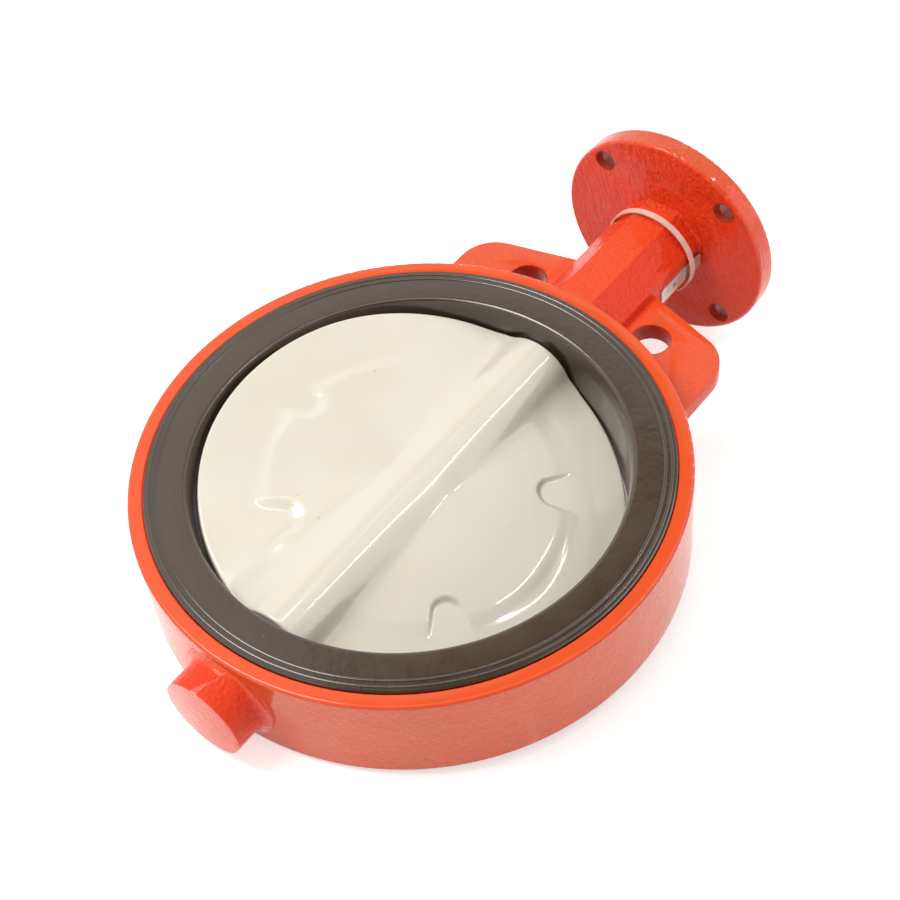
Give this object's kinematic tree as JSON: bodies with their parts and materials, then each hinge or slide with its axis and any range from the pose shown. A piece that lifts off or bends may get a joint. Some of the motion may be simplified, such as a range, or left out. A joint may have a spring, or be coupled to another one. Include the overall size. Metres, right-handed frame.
{
  "type": "wafer butterfly valve",
  "caption": "Wafer butterfly valve with rubber seat, coated disc, through stem, two locating lugs and a bare-stem actuator flange.",
  "frame": {"origin": "where the pipe's axis crosses the stem's axis, midway between the two pipe faces", "axes": "+Z along the pipe axis towards the side shown, +Y along the stem towards the actuator flange, +X across the disc"},
  "size_m": [0.322, 0.4885, 0.147],
  "materials": {
    "body_paint": "gloss paint over rough casting",
    "seat_rubber": "smooth moulded",
    "backing_resin": "matt",
    "disc_coating": "gloss coating",
    "stem_steel": "turned",
    "bush_plastic": "matt",
    "seal_rubber": "smooth moulded",
    "backup_plastic": "matt",
    "thrust_bronze": "turned",
    "split_steel": "turned",
    "spring_steel": "phosphated",
    "tag_metal": "bare sheet",
    "strap_plastic": "satin"
  },
  "bodies": {
    "valve_body": {"body": "body_paint", "seat_liner": "seat_rubber", "seat_backing_ring": "backing_resin", "lower_bush": "bush_plastic", "middle_bush": "bush_plastic", "upper_bush": "bush_plastic", "upper_bush_o_ring": "seal_rubber", "stem_seal": "seal_rubber", "seal_backup_ring": "backup_plastic", "thrust_pad": "thrust_bronze", "lower_thrust_washer": "thrust_bronze", "upper_thrust_washer": "thrust_bronze", "retaining_ring": "spring_steel", "id_tag": "tag_metal", "tag_strap": "strap_plastic"},
    "shaft": {"disc": "disc_coating", "stem": "stem_steel", "upper_hub_o_ring": "seal_rubber", "lower_hub_o_ring": "seal_rubber", "split_ring": "split_steel"}
  },
  "joints": [
    {"name": "disc_turn", "type": "hinge", "parent": "valve_body", "child": "shaft", "pos_m": [0, 0, 0], "axis": [0, 1, 0], "range_deg": [-15, 75]}
  ]
}
